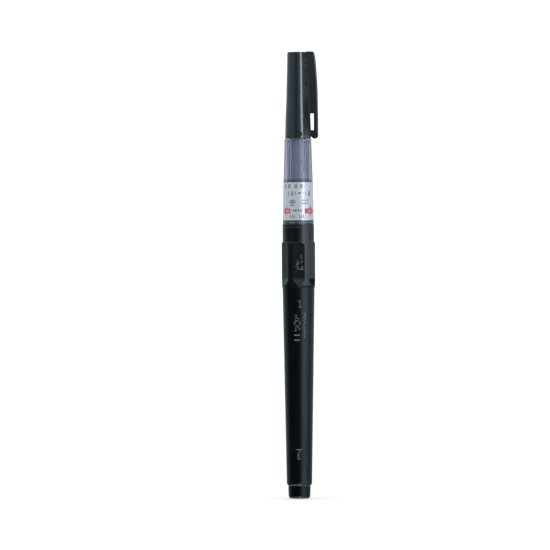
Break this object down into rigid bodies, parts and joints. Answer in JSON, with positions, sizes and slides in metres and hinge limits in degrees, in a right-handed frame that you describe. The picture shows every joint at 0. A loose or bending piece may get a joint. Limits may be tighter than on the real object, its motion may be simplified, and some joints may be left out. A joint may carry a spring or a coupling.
{
  "type": "calligraphy brush pen",
  "caption": "Slim refillable brush pen with a push-on clip cap, a translucent ribbed front section, a windowed grip collar and a long tapered barrel.",
  "frame": {"origin": "centre of the flat end of the tail plug, which is what the pen stands on", "axes": "+Z along the pen from the tail to the brush and the cap's crown; +X towards the cap's clip; -Y is the front, with the label's arrows"},
  "size_m": [0.0148, 0.0134, 0.178],
  "materials": {
    "black_gloss": "gloss",
    "black_cap": "gloss",
    "black_holder": "satin",
    "smoke_clear": "gloss",
    "smoke_inner": "gloss",
    "collector_grey": "satin",
    "silver_foil": "satin",
    "pipe_clear": "gloss",
    "wick_fibre": "matte",
    "bristle": "satin",
    "bottle_clear": "satin",
    "steel_ball": "polished",
    "ink": "gloss",
    "liner_white": "satin"
  },
  "bodies": {
    "barrel": {"barrel_shell": "black_gloss", "grip_collar": "black_gloss", "joint_ring": "black_gloss", "tail_plug": "black_gloss"},
    "cartridge": {"cartridge_bottle": "bottle_clear", "cartridge_ball": "steel_ball", "ink_charge": "ink"},
    "section": {"front_section": "smoke_clear", "label_wrap": "silver_foil", "ribbed_sleeve": "smoke_inner", "feed_collector": "collector_grey", "feed_pipe": "pipe_clear", "relay_wick": "wick_fibre", "tip_holder": "black_holder", "tuft_butt": "bristle", "brush_tuft": "bristle"},
    "cap": {"cap_shell": "black_cap", "inner_cap": "liner_white"}
  },
  "joints": [
    {"name": "section_travel", "type": "slide", "parent": "barrel", "child": "cartridge", "axis": [0, 0, 1], "range_m": [0, 0.0045]},
    {"name": "section_turn", "type": "hinge", "parent": "cartridge", "child": "section", "pos_m": [0, 0, 0.1154], "axis": [0, 0, 1], "range_deg": [0, 1080]},
    {"name": "cap_pull", "type": "slide", "parent": "section", "child": "cap", "axis": [0, 0, 1], "range_m": [0, 0.045]}
  ],
  "couplings": [
    {"joint": "section_travel", "follows": "section_turn", "m_per_rad": 0.00023873}
  ]
}
